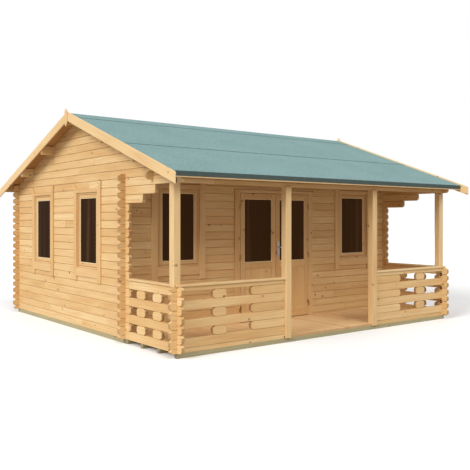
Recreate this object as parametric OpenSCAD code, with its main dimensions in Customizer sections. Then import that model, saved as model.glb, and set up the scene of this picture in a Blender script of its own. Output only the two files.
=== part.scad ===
// Log cabin with a roofed veranda along its front wall.
// The origin is on the ground under the middle of the ridge, +X runs along the front wall
// to the right, +Y runs to the back and +Z is up.

/* [Logs] */
// Height that each course of logs adds to a wall
log_h = 114; // [100:1:130]
// Thickness of a log
log_t = 44; // [34:1:60]
// Size of the chamfers that make the grooves between courses
groove = 9; // [3:1:12]
// Length from a wall's centre line to the tips of the logs that cross it
log_end = 122; // [90:1:160]

/* [Cabin] */
// Width between the centre lines of the two side walls
cabin_w = 5256; // [5000:10:6400]
// Depth between the centre lines of the front and back walls
cabin_d = 3990; // [3600:10:5200]
// Depth from the front wall's centre line to the railing's centre line
veranda_d = 1280; // [1100:10:2000]
// Full courses in the walls that carry the eaves, over their half log
courses = 19; // [19:1:22]
// Height of the bearers that the logs stand on
bearer_h = 58; // [40:1:100]
// Width of a bearer
bearer_w = 58; // [40:1:100]
// Thickness of the floor boards
floor_t = 34; // [18:1:40]

/* [Roof] */
// Slope of the roof in degrees
roof_angle = 19.5; // [15:0.5:26]
// Overhang of the eaves past the outer log faces
eave_out = 182; // [100:2:400]
// Distance from the side walls' outer faces to the bargeboards' outer faces
gable_out = 235; // [150:5:400]
// Thickness of the roof boards
deck_t = 19; // [16:1:28]
// Thickness of the roofing felt
felt_t = 4; // [2:1:8]
// Plumb height of a bargeboard
barge_h = 137; // [110:1:180]
// Length that the bargeboards run on past the eaves
barge_over = 137; // [5:1:200]
// Thickness of the bargeboards and eave boards
board_t = 20; // [16:1:28]

/* [Veranda] */
// Width of a square post
post_w = 100; // [80:1:120]
// Distance from the middle of the front to each inner post
post_x = 880; // [820:2:1100]
// Distance from the railing's centre line back to the middle of each corner post
post_back = 60; // [0:1:80]
// Courses in a railing panel
rail_courses = 7; // [5:2:9]
// Thickness of the handrail
handrail_t = 28; // [20:1:40]
// Width of the handrail
handrail_w = 90; // [70:1:110]
// Length of the short logs between the railing's openings
block_w = 220; // [160:5:260]

/* [Windows] */
// Width of a window frame
window_w = 700; // [600:10:800]
// Height of a window frame
window_h = 1124; // [1000:4:1200]
// Distance from the middle of the front wall to the middle of each window
front_window_x = 1804; // [1760:4:2000]
// Distance from the middle of a side wall to the middle of each window
side_window_y = 850; // [700:10:1000]
// Width of the boards around windows and doors
trim_w = 100; // [70:1:110]
// Thickness of the boards around windows and doors
trim_t = 20; // [14:1:28]

/* [Doors] */
// Width of one door leaf
leaf_w = 703; // [640:1:740]
// Height of a door leaf's top edge above the bearers
leaf_top = 2012; // [1960:2:2030]
// Thickness of a door leaf
leaf_t = 44; // [36:1:50]
// Clearance around the leaves
door_gap = 5; // [5:1:8]
// Width of a leaf's stiles
stile_w = 73; // [60:1:110]

/* [Hidden] */

// lines of the plan
side_x = cabin_w / 2;
back_y = (cabin_d + veranda_d) / 2;
rail_y = -back_y;
front_y = rail_y + veranda_d;
side_mid_y = (front_y + back_y) / 2;
half_t = log_t / 2;
log_tips_w = cabin_w + 2 * log_end;

// heights over the ground
plate_z = course_z(courses + 0.5);
slope = tan(roof_angle);
ridge_z = plate_z + slope * (back_y + half_t);
last_course = ceil((ridge_z - bearer_h) / log_h);
eave_y = back_y + half_t + eave_out;
barge_x = side_x + half_t + gable_out;
deck_plumb = deck_t / cos(roof_angle);
felt_plumb = felt_t / cos(roof_angle);
deck_y = eave_y - felt_t - board_t;
barge_rise = 45;
barge_joint = 1;
purlin_w = 44;
purlin_h = 145;
purlin_run = [1040, 1925];
eave_board_h = 80;
felt_skirt = 62;
// the felt lies this far off the boards, so that rounding never makes them overlap
felt_clear = 0.02;
ridge_felt_run = 260;
finial_w = 66;
finial_h = 270;
finial_point = 42;
finial_rise = 45;

// courses up to the underside of the log beam over the posts
beam_course = courses - 1;

// corbels that carry the gable out over the veranda
corbel_course = 16;
corbel_reach = [465, 775];
corbel_round = 45;
tie_out = 735;
tie_y = front_y - tie_out;

// railing
rail_top = course_z(rail_courses);
inner_rail_x = post_x + post_w / 2;
rail_tip_y = front_y - log_end;
corner_gap = 480;
second_gap = 390;
side_gaps = [[147, 300], [524, 707], [929, 1125]];

// windows
side_window_z = course_z(7.75);
front_window_z = course_z(8.25);
sash_w = 75;
pane_t = 8;
trim_drop = 194;
// the head board's height, and the upright boards' ears, which lean outwards over it
head_rise = 45;
trim_rise = 150;
ear_lean = 14;
ear_tip = 14;
sill_board = 125;

// doors
door_clear = 2 * leaf_w + 3 * door_gap;
jamb_w = 45;
opening_x = door_clear / 2 + jamb_w;
head_t = 30;
sill_gap = 10;
leaf_z = bearer_h + floor_t + sill_gap;
leaf_top_z = bearer_h + leaf_top;
opening_z = leaf_top_z + door_gap + head_t;
wall_face_y = front_y - half_t;
leaf_face_y = wall_face_y - trim_t;
hinge_r = 8;
barrel_clear = 0.5;
hinge_x = door_clear / 2;
hinge_y = leaf_face_y - hinge_r - barrel_clear;
glass_top_inset = 82;
glass_h = 985;
bottom_rail = 150;
mid_rail = 90;
panel_recess = 10;
stop_w = 14;
stop_t = 12;
leaf_h = leaf_top_z - leaf_z;
glass_z0 = leaf_h - glass_top_inset - glass_h;

// hinges and handle
barrel_h = 45;
barrel_gap = 1;
hinge_inset = 200;
flap_w = 24;
flap_t = 3;
flap_gap = 2;
plate_h = 245;
plate_w = 42;
plate_t = 8;
plate_x = 46;
lever_z = 1168;
plate_drop = 25;
lever_r = 9;
lever_l = 120;
lever_out = 50;

pine = "#e0bd86";
pine_dark = "#c9a06a";
treated = "#a8a383";
felt_green = "#7f9f9b";
glass_dark = [0.16, 0.13, 0.11, 0.6];
steel = "#c4c2bd";

function course_z(n) = bearer_h + n * log_h;

// half outline of a stack of logs: z runs from z0 to z1 and a groove lies at every
// course line, which is at the phase fraction of a course
function groove_lines(z0, z1, phase) =
    [for (n = [0:last_course]) let (z = course_z(n + phase)) if (z > z0 + groove && z < z1 - groove) z];

function flank(z0, z1, phase) = concat(
    [[half_t, z0]],
    [for (z = groove_lines(z0, z1, phase), p = [[0, -groove], [-groove, 0], [0, groove]])
        [half_t + p[0], z + p[1]]],
    [[half_t, z1]]
);

function mirrored(points) = [for (i = [len(points) - 1:-1:0]) [-points[i][0], points[i][1]]];

module log_section(z0, z1, phase) {
    side = flank(z0, z1, phase);
    polygon(concat(side, mirrored(side)));
}

// a wall along X whose outline in X and Z is the children
module wall_x(z0, z1, y) {
    intersection() {
        translate([0, y, 0])
            rotate([90, 0, 90])
                linear_extrude(log_tips_w, center = true)
                    log_section(z0, z1, 0.5);
        translate([0, y + log_t, 0])
            rotate([90, 0, 0])
                linear_extrude(2 * log_t)
                    children();
    }
}

// a wall along Y whose outline in Y and Z is the children
module wall_y(z0, z1, x) {
    intersection() {
        translate([x, 0, 0])
            rotate([90, 0, 0])
                linear_extrude(2 * eave_y, center = true)
                    log_section(z0, z1, 0);
        translate([x - log_t, 0, 0])
            rotate([90, 0, 90])
                linear_extrude(2 * log_t)
                    children();
    }
}

// notches where another wall's logs pass: half a course high, on the phase fraction
module notches(x, y, first, last, phase) {
    for (n = [first:last])
        translate([x, y, course_z(n + phase)])
            cube([log_t, log_t, log_h / 2], center = true);
}

// notches in a wall along X for the side walls' logs, and the other way round
module notches_for_side_logs(y, last) {
    for (s = [-1, 1])
        notches(s * side_x, y, 0, last, 0.5);
}

module notches_for_cross_logs(x, ys, last) {
    for (y = ys)
        notches(x, y, 0, last, 0);
}

module box_between(a, b) {
    translate(a)
        cube(b - a);
}

module rect_between(x0, z0, x1, z1) {
    translate([x0, z0])
        square([x1 - x0, z1 - z0]);
}

// the space under the roof boards, as an outline in Y and Z
module under_roof() {
    polygon([
        [-eave_y, 0], [eave_y, 0], [eave_y, ridge_z - slope * eave_y],
        [0, ridge_z], [-eave_y, ridge_z - slope * eave_y]
    ]);
}

// a band that lies on one roof slope: side is -1 for the front and 1 for the back, and
// rise0 and rise1 are plumb distances over the underside of the roof boards
module slope_band(side, y0, y1, rise0, rise1) {
    polygon([
        [side * y0, ridge_z - slope * y0 + rise0], [side * y1, ridge_z - slope * y1 + rise0],
        [side * y1, ridge_z - slope * y1 + rise1], [side * y0, ridge_z - slope * y0 + rise1]
    ]);
}

// a solid between x0 and x1 whose outline in Y and Z is the children
module along_x(x0, x1) {
    translate([x0, 0, 0])
        rotate([90, 0, 90])
            linear_extrude(x1 - x0)
                children();
}

// ---- what the cabin stands on ----

module cabin_bearers() {
    color(treated) {
        x = side_x + half_t;
        y0 = front_y - half_t;
        y1 = back_y + half_t;
        difference() {
            box_between([-x, y0, 0], [x, y1, bearer_h]);
            box_between([-x + bearer_w, y0 + bearer_w, -1], [x - bearer_w, y1 - bearer_w, bearer_h + 1]);
        }
        bays = 8;
        pitch = (y1 - y0 - bearer_w) / bays;
        for (n = [1:bays - 1])
            translate([-x + bearer_w, y0 + n * pitch, 0])
                cube([2 * (x - bearer_w), bearer_w, bearer_h]);
    }
}

module veranda_bearers() {
    color(treated) {
        first = front_y - half_t - bearer_w;
        last = rail_y - half_t;
        rows = 3;
        for (n = [0:rows - 1])
            translate([-side_x - half_t, last + n * (first - last - bearer_w) / rows, 0])
                cube([cabin_w + log_t, bearer_w, bearer_h]);
        translate([-side_x - half_t, first, 0])
            cube([cabin_w + log_t, bearer_w, bearer_h]);
    }
}

module cabin_floor() {
    color(pine_dark)
        box_between(
            [-side_x + half_t, front_y + half_t, bearer_h],
            [side_x - half_t, back_y - half_t, bearer_h + floor_t]
        );
}

module veranda_floor() {
    inner = rail_y + half_t;
    color(pine_dark)
        difference() {
            union() {
                box_between(
                    [-side_x + half_t, inner, bearer_h],
                    [side_x - half_t, front_y - half_t, bearer_h + floor_t]
                );
                box_between(
                    [-inner_rail_x, rail_y - half_t, bearer_h],
                    [inner_rail_x, inner, bearer_h + floor_t]
                );
            }
            for (s = [-1, 1])
                translate([s * post_x, rail_y, bearer_h + floor_t / 2])
                    cube([post_w, post_w, floor_t + 2], center = true);
        }
}

// ---- log walls ----

module window_openings(xs, z) {
    for (x = xs)
        rect_between(x - window_w / 2, z, x + window_w / 2, z + window_h);
}

module door_opening() {
    rect_between(-opening_x, 0, opening_x, opening_z);
}

// the front wall's outline up to the eaves, between x0 and x1
module front_wall_part(x0, x1) {
    difference() {
        wall_x(bearer_h, plate_z, front_y)
            difference() {
                rect_between(x0, bearer_h, x1, course_z(courses - 0.5));
                door_opening();
                window_openings([-front_window_x, front_window_x], front_window_z);
            }
        notches_for_side_logs(front_y, courses);
    }
}

module front_wall_left() {
    color(pine)
        front_wall_part(-log_tips_w / 2, -opening_x);
}

module front_wall_right() {
    color(pine)
        front_wall_part(opening_x, log_tips_w / 2);
}

// the logs over the doors, and the wall above them up to the roof
module front_wall_upper() {
    top = ridge_z - slope * (-front_y - half_t);
    inner = side_x - half_t;
    color(pine)
        difference() {
            intersection() {
                wall_x(bearer_h, top, front_y) {
                    rect_between(-opening_x, opening_z, opening_x, plate_z);
                    rect_between(-log_tips_w / 2, course_z(courses - 0.5), log_tips_w / 2, plate_z);
                    rect_between(-inner, plate_z, inner, top);
                }
                along_x(-log_tips_w / 2, log_tips_w / 2)
                    under_roof();
            }
            notches_for_side_logs(front_y, courses);
        }
}

module back_wall() {
    color(pine)
        difference() {
            intersection() {
                wall_x(bearer_h, plate_z + slope * log_t, back_y)
                    rect_between(-log_tips_w / 2, bearer_h, log_tips_w / 2, plate_z + log_t);
                along_x(-log_tips_w / 2, log_tips_w / 2)
                    under_roof();
            }
            notches_for_side_logs(back_y, courses);
        }
}

// a side wall from the bearers to the first corbel course
module side_wall(s) {
    color(pine)
        difference() {
            wall_y(bearer_h, course_z(corbel_course), s * side_x)
                difference() {
                    rect_between(
                        rail_tip_y, bearer_h, back_y + log_end, course_z(corbel_course)
                    );
                    window_openings(
                        [side_mid_y - side_window_y, side_mid_y + side_window_y], side_window_z
                    );
                }
            notches_for_cross_logs(s * side_x, [front_y, back_y], corbel_course);
        }
}

module left_wall() {
    side_wall(-1);
}

module right_wall() {
    side_wall(1);
}

// a corbel course that reaches to y, with a rounded lower corner
module corbel_end(y, n) {
    z = course_z(n);
    difference() {
        rect_between(y, z, back_y, z + log_h);
        difference() {
            rect_between(y - 1, z - 1, y + corbel_round, z + corbel_round);
            translate([y + corbel_round, z + corbel_round])
                circle(r = corbel_round, $fn = 48);
        }
    }
}

// the gable over the corbel course, which runs out over the veranda
module gable(s) {
    z0 = course_z(corbel_course);
    z_over = course_z(corbel_course + 2);
    front_tip = rail_y - log_end;
    color(pine)
        difference() {
            intersection() {
                wall_y(z0, ridge_z, s * side_x)
                    difference() {
                        intersection() {
                            union() {
                                rect_between(front_y, z0, back_y + log_end, ridge_z);
                                corbel_end(wall_face_y - corbel_reach[0], corbel_course);
                                corbel_end(wall_face_y - corbel_reach[1], corbel_course + 1);
                                corbel_end(front_tip, corbel_course + 2);
                                rect_between(front_tip, z_over + log_h, back_y, ridge_z);
                            }
                            under_roof();
                        }
                        window_openings(
                            [side_mid_y - side_window_y, side_mid_y + side_window_y], side_window_z
                        );
                    }
            }
            notches_for_cross_logs(s * side_x, [front_y, back_y, rail_y], courses);
            notches(s * side_x, tie_y, corbel_course + 3, corbel_course + 3, 0);
            purlin_slots(s);
        }
}

// slots for the purlins, open at the roof
module purlin_slots(s) {
    for (y = [-purlin_run[1], -purlin_run[0], 0, purlin_run[0], purlin_run[1]])
        translate([s * side_x, y, ridge_z - slope * abs(y) - purlin_h + log_h])
            cube([2 * log_t, purlin_w, 2 * log_h], center = true);
}

module left_gable() {
    gable(-1);
}

module right_gable() {
    gable(1);
}

// ---- veranda ----

// the openings of a side railing, in the even courses
module side_rail_gaps() {
    for (n = [1:2:rail_courses - 2], gap = side_gaps)
        rect_between(
            wall_face_y - gap[1], course_z(n), wall_face_y - gap[0], course_z(n + 1)
        );
}

module side_railing(s) {
    color(pine)
        difference() {
            wall_y(bearer_h, rail_top, s * side_x)
                difference() {
                    rect_between(rail_y - log_end, bearer_h, rail_tip_y, rail_top);
                    side_rail_gaps();
                }
            notches_for_cross_logs(s * side_x, [rail_y], rail_courses);
        }
}

module left_railing() {
    side_railing(-1);
}

module right_railing() {
    side_railing(1);
}

// the front railing's openings lie one course apart, beside the corner and past a block
module front_rail_gaps(s) {
    corner = side_x - half_t;
    for (n = [1:2:rail_courses - 2]) {
        z = course_z(n + 0.5);
        a = s * corner;
        b = s * (corner - corner_gap);
        c = s * (corner - corner_gap - block_w);
        d = s * (corner - corner_gap - block_w - second_gap);
        rect_between(min(a, b), z, max(a, b), z + log_h);
        rect_between(min(c, d), z, max(c, d), z + log_h);
    }
}

module front_railing(s) {
    outer = s * log_tips_w / 2;
    inner = s * inner_rail_x;
    color(pine)
        difference() {
            wall_x(bearer_h, rail_top, rail_y)
                difference() {
                    rect_between(min(outer, inner), bearer_h, max(outer, inner), rail_top);
                    front_rail_gaps(s);
                }
            notches_for_side_logs(rail_y, rail_courses);
        }
}

module front_railing_left() {
    front_railing(-1);
}

module front_railing_right() {
    front_railing(1);
}

module handrails() {
    color(pine)
        for (s = [-1, 1]) {
            x0 = min(s * inner_rail_x, s * (side_x + handrail_w / 2));
            x1 = max(s * inner_rail_x, s * (side_x + handrail_w / 2));
            difference() {
                box_between(
                    [x0, rail_y - handrail_w / 2, rail_top],
                    [x1, rail_y + handrail_w / 2, rail_top + handrail_t]
                );
                corner_post(s);
            }
            box_between(
                [s * side_x - handrail_w / 2, rail_y + post_back + post_w / 2, rail_top],
                [s * side_x + handrail_w / 2, rail_tip_y, rail_top + handrail_t]
            );
        }
}

module post(x, y, z0) {
    translate([x - post_w / 2, y - post_w / 2, z0])
        cube([post_w, post_w, course_z(beam_course) - z0]);
}

module corner_post(s) {
    post(s * side_x, rail_y + post_back, rail_top);
}

module corner_posts() {
    color(pine)
        for (s = [-1, 1])
            corner_post(s);
}

module inner_posts() {
    color(pine)
        for (s = [-1, 1])
            post(s * post_x, rail_y, bearer_h);
}

// the log beam over the posts: it ends flush with the gables
module front_beam() {
    outer = side_x + half_t;
    color(pine)
        difference() {
            intersection() {
                wall_x(course_z(beam_course), plate_z + slope * log_t, rail_y)
                    rect_between(-outer, course_z(beam_course), outer, plate_z + log_t);
                along_x(-outer, outer)
                    under_roof();
            }
            for (s = [-1, 1])
                notches(s * side_x, rail_y, courses - 1, courses, 0.5);
        }
}

// one log that ties the two gables together over the veranda
module veranda_tie_log() {
    z = course_z(corbel_course + 2.5);
    color(pine)
        difference() {
            wall_x(z, z + log_h, tie_y)
                rect_between(-log_tips_w / 2, z, log_tips_w / 2, z + log_h);
            for (s = [-1, 1])
                notches(s * side_x, tie_y, corbel_course + 2, corbel_course + 3, 0.5);
        }
}

// ---- roof ----

module ridge_purlin_body() {
    along_x(-barge_x + board_t, barge_x - board_t)
        intersection() {
            rect_between(-purlin_w / 2, ridge_z - purlin_h, purlin_w / 2, ridge_z);
            under_roof();
        }
}

module side_purlin_bodies() {
    for (s = [-1, 1], run = purlin_run)
        along_x(-barge_x + board_t, barge_x - board_t)
            intersection() {
                translate([s * run - purlin_w / 2, ridge_z - slope * run - purlin_h])
                    square([purlin_w, purlin_h + purlin_w]);
                under_roof();
            }
}

module ridge_purlin() {
    color(pine)
        ridge_purlin_body();
}

module side_purlins() {
    color(pine)
        side_purlin_bodies();
}

module roof_deck(side) {
    color(pine)
        along_x(-barge_x + board_t, barge_x - board_t)
            slope_band(side, 0, deck_y, 0, deck_plumb);
}

module roof_deck_front() {
    roof_deck(-1);
}

module roof_deck_back() {
    roof_deck(1);
}

module eave_boards() {
    top = ridge_z - slope * deck_y + deck_plumb;
    color(pine)
        for (s = [-1, 1])
            along_x(-barge_x + board_t, barge_x - board_t)
                translate([s < 0 ? -deck_y - board_t : deck_y, top - eave_board_h])
                    polygon([
                        [0, 0], [board_t, 0],
                        [board_t, eave_board_h - (s > 0 ? slope * board_t : 0)],
                        [0, eave_board_h - (s < 0 ? slope * board_t : 0)]
                    ]);
}

// plumb height of a line over the ground, rise over the roof boards' underside
function roof_z(y, rise) = ridge_z - slope * abs(y) + rise;

// felt over one slope that turns down over the eave board
module felt(side) {
    low = deck_plumb + felt_clear;
    top = deck_plumb + felt_plumb;
    outer = eave_y - felt_t;
    skirt_z = roof_z(eave_y, top) - felt_skirt;
    color(felt_green)
        along_x(-barge_x + board_t, barge_x - board_t)
            polygon([
                [0, roof_z(0, low)], [side * outer, roof_z(outer, low)], [side * outer, skirt_z],
                [side * eave_y, skirt_z], [side * eave_y, roof_z(eave_y, top)], [0, roof_z(0, top)]
            ]);
}

module felt_front() {
    felt(-1);
}

module felt_back() {
    felt(1);
}

module ridge_felt() {
    low = deck_plumb + felt_plumb;
    top = low + felt_plumb;
    run = ridge_felt_run;
    color(felt_green)
        along_x(-barge_x + board_t, barge_x - board_t)
            polygon([
                [-run, roof_z(run, low)], [0, roof_z(0, low)], [run, roof_z(run, low)],
                [run, roof_z(run, top)], [0, roof_z(0, top)], [-run, roof_z(run, top)]
            ]);
}

module bargeboards(s) {
    x0 = min(s * barge_x, s * (barge_x - board_t));
    color(pine)
        along_x(x0, x0 + board_t)
            for (side = [-1, 1])
                slope_band(side, barge_joint, eave_y + barge_over, barge_rise - barge_h, barge_rise);
}

module left_bargeboards() {
    bargeboards(-1);
}

module right_bargeboards() {
    bargeboards(1);
}

module finials() {
    top = ridge_z + barge_rise + finial_rise;
    low = top - finial_h;
    color(pine)
        for (s = [-1, 1])
            along_x(min(s * barge_x, s * (barge_x + board_t)), max(s * barge_x, s * (barge_x + board_t)))
                polygon([
                    [0, low], [finial_w / 2, low + finial_point], [finial_w / 2, top - finial_point],
                    [0, top], [-finial_w / 2, top - finial_point], [-finial_w / 2, low + finial_point]
                ]);
}

// ---- windows: drawn in X and Z with the outside towards -Y, around the wall's line ----

module window_frame() {
    rotate([90, 0, 0])
        translate([0, 0, -half_t])
            linear_extrude(log_t)
                difference() {
                    rect_between(-window_w / 2, 0, window_w / 2, window_h);
                    rect_between(-window_w / 2 + sash_w, sash_w, window_w / 2 - sash_w, window_h - sash_w);
                }
}

module window_pane() {
    rotate([90, 0, 0])
        translate([0, 0, -pane_t / 2])
            linear_extrude(pane_t)
                rect_between(-window_w / 2 + sash_w, sash_w, window_w / 2 - sash_w, window_h - sash_w);
}

// boards around the outside: the upright ones have slanted tops
module window_surround() {
    translate([0, -half_t, 0])
        rotate([90, 0, 0])
            linear_extrude(trim_t) {
                for (s = [-1, 1])
                    polygon([
                        [s * window_w / 2, -trim_drop], [s * (window_w / 2 + trim_w), -trim_drop],
                        [s * (window_w / 2 + trim_w), window_h + head_rise],
                        [s * (window_w / 2 + trim_w + ear_lean), window_h + trim_rise],
                        [s * (window_w / 2 + trim_w + ear_lean - ear_tip), window_h + trim_rise],
                        [s * window_w / 2, window_h + head_rise]
                    ]);
                rect_between(-window_w / 2, -sill_board, window_w / 2, 0);
                rect_between(-window_w / 2, window_h, window_w / 2, window_h + head_rise);
            }
}

module at_front_windows() {
    for (s = [-1, 1])
        translate([s * front_window_x, front_y, front_window_z])
            children();
}

module at_side_windows(s) {
    for (t = [-1, 1])
        translate([s * side_x, side_mid_y + t * side_window_y, side_window_z])
            rotate([0, 0, s * 90])
                children();
}

module front_window_frames() {
    color(pine)
        at_front_windows()
            window_frame();
}

module side_window_frames() {
    color(pine)
        for (s = [-1, 1])
            at_side_windows(s)
                window_frame();
}

module window_glass() {
    color(glass_dark) {
        at_front_windows()
            window_pane();
        for (s = [-1, 1])
            at_side_windows(s)
                window_pane();
    }
}

module front_window_trim() {
    color(pine)
        at_front_windows()
            window_surround();
}

module side_window_trim() {
    color(pine)
        for (s = [-1, 1])
            at_side_windows(s)
                window_surround();
}

// ---- doors ----

module door_frame() {
    clear_x = door_clear / 2;
    head_z = leaf_top_z + door_gap;
    sill_z = bearer_h + floor_t;
    stop_y = leaf_face_y + leaf_t + door_gap;
    back = front_y + half_t;
    color(pine) {
        difference() {
            box_between([-opening_x, wall_face_y, bearer_h], [opening_x, back, opening_z]);
            box_between([-clear_x, wall_face_y - 1, sill_z], [clear_x, back + 1, head_z]);
        }
        difference() {
            box_between([-clear_x, stop_y, sill_z], [clear_x, stop_y + stop_t, head_z]);
            box_between(
                [-clear_x + stop_w, stop_y - 1, sill_z - 1],
                [clear_x - stop_w, stop_y + stop_t + 1, head_z - stop_w]
            );
        }
    }
}

module door_trim() {
    inner = door_clear / 2;
    head_z = leaf_top_z + door_gap;
    color(pine)
        translate([0, wall_face_y, 0])
            rotate([90, 0, 0])
                linear_extrude(trim_t)
                    difference() {
                        rect_between(-inner - trim_w, bearer_h + floor_t, inner + trim_w, head_z + trim_w / 2);
                        rect_between(-inner, 0, inner, head_z);
                    }
}

// a leaf from its hinge edge at x = 0, with its outside towards -Y at y = 0
module leaf_timber() {
    difference() {
        cube([leaf_w, leaf_t, leaf_h]);
        translate([stile_w, -1, glass_z0])
            cube([leaf_w - 2 * stile_w, leaf_t + 2, glass_h]);
        for (y = [-1, leaf_t - panel_recess])
            translate([stile_w, y, bottom_rail])
                cube([leaf_w - 2 * stile_w, panel_recess + 1, glass_z0 - mid_rail - bottom_rail]);
    }
}

module leaf_glass() {
    translate([stile_w, (leaf_t - pane_t) / 2, glass_z0])
        cube([leaf_w - 2 * stile_w, pane_t, glass_h]);
}

// s = -1 hangs a leaf on the left jamb and s = 1 on the right one
module at_leaf(s) {
    mirror([s > 0 ? 1 : 0, 0, 0])
        translate([-door_clear / 2 + door_gap, leaf_face_y, leaf_z])
            children();
}

module left_door_leaf() {
    color(pine)
        at_leaf(-1)
            leaf_timber();
}

module right_door_leaf() {
    color(pine)
        at_leaf(1)
            leaf_timber();
}

module left_door_glass() {
    color(glass_dark)
        at_leaf(-1)
            leaf_glass();
}

module right_door_glass() {
    color(glass_dark)
        at_leaf(1)
            leaf_glass();
}

// half a lift-off hinge around the swing axis: side is -1 for the half on the trim, below,
// and 1 for the half on the leaf, above
module hinge_halves(s, side) {
    for (z = [leaf_z + hinge_inset, leaf_z + leaf_h / 2, leaf_z + leaf_h - hinge_inset])
        translate([s * hinge_x, hinge_y, z + (side > 0 ? barrel_gap : -barrel_h)]) {
            cylinder(r = hinge_r, h = barrel_h, $fn = 48);
            translate([s * side > 0 ? -flap_w : flap_gap, leaf_face_y - flap_t - hinge_y, 0])
                cube([flap_w - flap_gap, flap_t, barrel_h]);
        }
}

module left_hinges() {
    color(steel)
        hinge_halves(-1, 1);
}

module right_hinges() {
    color(steel)
        hinge_halves(1, 1);
}

module fixed_hinges() {
    color(steel)
        for (s = [-1, 1])
            hinge_halves(s, -1);
}

// a lever handle on a long plate: the lever points away from the leaf's free edge
module handle_side() {
    rotate([90, 0, 0])
        linear_extrude(plate_t) {
            square([plate_w, plate_h - plate_w], center = true);
            for (s = [-1, 1])
                translate([0, s * (plate_h - plate_w) / 2])
                    circle(d = plate_w, $fn = 48);
        }
    translate([0, 0, plate_drop]) {
        rotate([90, 0, 0])
            cylinder(r = lever_r, h = lever_out, $fn = 32);
        translate([0, -lever_out + lever_r, 0])
            rotate([0, 90, 0])
                cylinder(r = lever_r, h = lever_l, $fn = 32);
    }
}

module door_handle() {
    color(steel)
        translate([door_gap / 2 + plate_x, 0, bearer_h + lever_z - plate_drop]) {
            translate([0, leaf_face_y, 0])
                handle_side();
            translate([0, leaf_face_y + leaf_t, 0])
                mirror([0, 1, 0])
                    handle_side();
        }
}

cabin_bearers();
veranda_bearers();
cabin_floor();
veranda_floor();
front_wall_left();
front_wall_right();
front_wall_upper();
back_wall();
left_wall();
right_wall();
left_gable();
right_gable();
left_railing();
right_railing();
front_railing_left();
front_railing_right();
handrails();
corner_posts();
inner_posts();
front_beam();
veranda_tie_log();
ridge_purlin();
side_purlins();
roof_deck_front();
roof_deck_back();
felt_front();
felt_back();
ridge_felt();
eave_boards();
left_bargeboards();
right_bargeboards();
finials();
front_window_frames();
side_window_frames();
window_glass();
front_window_trim();
side_window_trim();
door_frame();
door_trim();
left_door_leaf();
right_door_leaf();
left_door_glass();
right_door_glass();
door_handle();
left_hinges();
right_hinges();
fixed_hinges();
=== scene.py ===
"""Looks of a log cabin with a railed veranda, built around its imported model.

Everything is in metres in the model's own frame: the origin is on the ground under the middle
of the ridge, +X runs along the front to the right, +Y to the back wall and +Z up.
"""
import math
import random

import bmesh
import bpy
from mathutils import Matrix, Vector


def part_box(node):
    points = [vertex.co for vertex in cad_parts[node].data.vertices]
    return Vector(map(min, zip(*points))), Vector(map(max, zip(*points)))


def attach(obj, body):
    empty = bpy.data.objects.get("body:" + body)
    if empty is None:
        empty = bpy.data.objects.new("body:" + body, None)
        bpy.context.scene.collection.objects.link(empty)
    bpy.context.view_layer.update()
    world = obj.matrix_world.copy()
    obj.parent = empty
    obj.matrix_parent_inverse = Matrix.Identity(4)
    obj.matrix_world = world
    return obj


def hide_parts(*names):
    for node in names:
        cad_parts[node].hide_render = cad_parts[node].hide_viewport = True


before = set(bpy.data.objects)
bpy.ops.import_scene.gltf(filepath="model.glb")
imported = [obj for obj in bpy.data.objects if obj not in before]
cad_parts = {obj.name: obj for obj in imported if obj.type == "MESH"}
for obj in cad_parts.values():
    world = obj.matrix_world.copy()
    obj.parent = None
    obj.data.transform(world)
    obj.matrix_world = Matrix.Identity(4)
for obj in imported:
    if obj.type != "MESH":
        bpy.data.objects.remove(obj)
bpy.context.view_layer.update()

MM = 0.001
FAR = 100.0


# ---- sizes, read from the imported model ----

def middle(node, axis):
    low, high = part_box(node)
    return (low[axis] + high[axis]) / 2


def extent(node, axis):
    low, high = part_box(node)
    return high[axis] - low[axis]


X, Y, Z = 0, 1, 2
RAIL_COURSES = 7
bearer_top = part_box("left_railing")[0].z
rail_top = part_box("left_railing")[1].z
log_h = extent("left_railing", Z) / RAIL_COURSES
log_t = extent("left_railing", X)
half_t = log_t / 2
side_x = middle("right_railing", X)
rail_y = middle("front_railing_left", Y)
front_y = middle("front_wall_left", Y)
back_y = middle("back_wall", Y)
side_mid_y = (front_y + back_y) / 2
tip_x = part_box("back_wall")[1].x
log_end = tip_x - side_x
wall_face_y = front_y - half_t
tip_y = rail_y - log_end

ridge_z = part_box("ridge_purlin")[1].z
deck_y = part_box("roof_deck_back")[1].y
deck_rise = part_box("roof_deck_back")[1].z - ridge_z
slope = (ridge_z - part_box("roof_deck_back")[0].z) / deck_y
roof_turn = math.atan(slope)
deck_t = deck_rise * math.cos(roof_turn)
roof_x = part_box("roof_deck_back")[1].x
eave_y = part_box("felt_back")[1].y

# how far along a trunk, and how far from its heart, a timber may have been cut
TREE_LENGTH = 40.0
HEART_REACH = 180 * MM

# the logs: groove chamfers, the slot between two logs and the tongue that closes it, rounded
# tips and the corbels under the gables
GROOVE = 5 * MM
SEAM = 3.5 * MM
TONGUE = 14 * MM
TONGUE_BACK = 6 * MM
ARRIS = 1.5 * MM
TIP_LENGTH = 46 * MM
TIP_CUT = 30 * MM
CORBEL_ROUND = 45 * MM
ROUND_STEPS = 4
CORBEL_COURSE = 16
CORBEL_REACH = (465 * MM, 775 * MM)
WALL_COURSES = 19
SHORTEST_LENGTH = 0.5
SHORTEST_STUB = 0.2
ROOF_TRIM = 20 * MM


def course_z(n):
    return bearer_top + n * log_h


def roof_z(y, rise=0.0):
    """Height of the roof boards' underside at y, or of a line a plumb rise over it."""
    return ridge_z - slope * abs(y) + rise


def roof_reach(z):
    """How far from the ridge the roof boards' underside is at height z."""
    return (ridge_z - z) / slope


# ---- node trees ----

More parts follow.
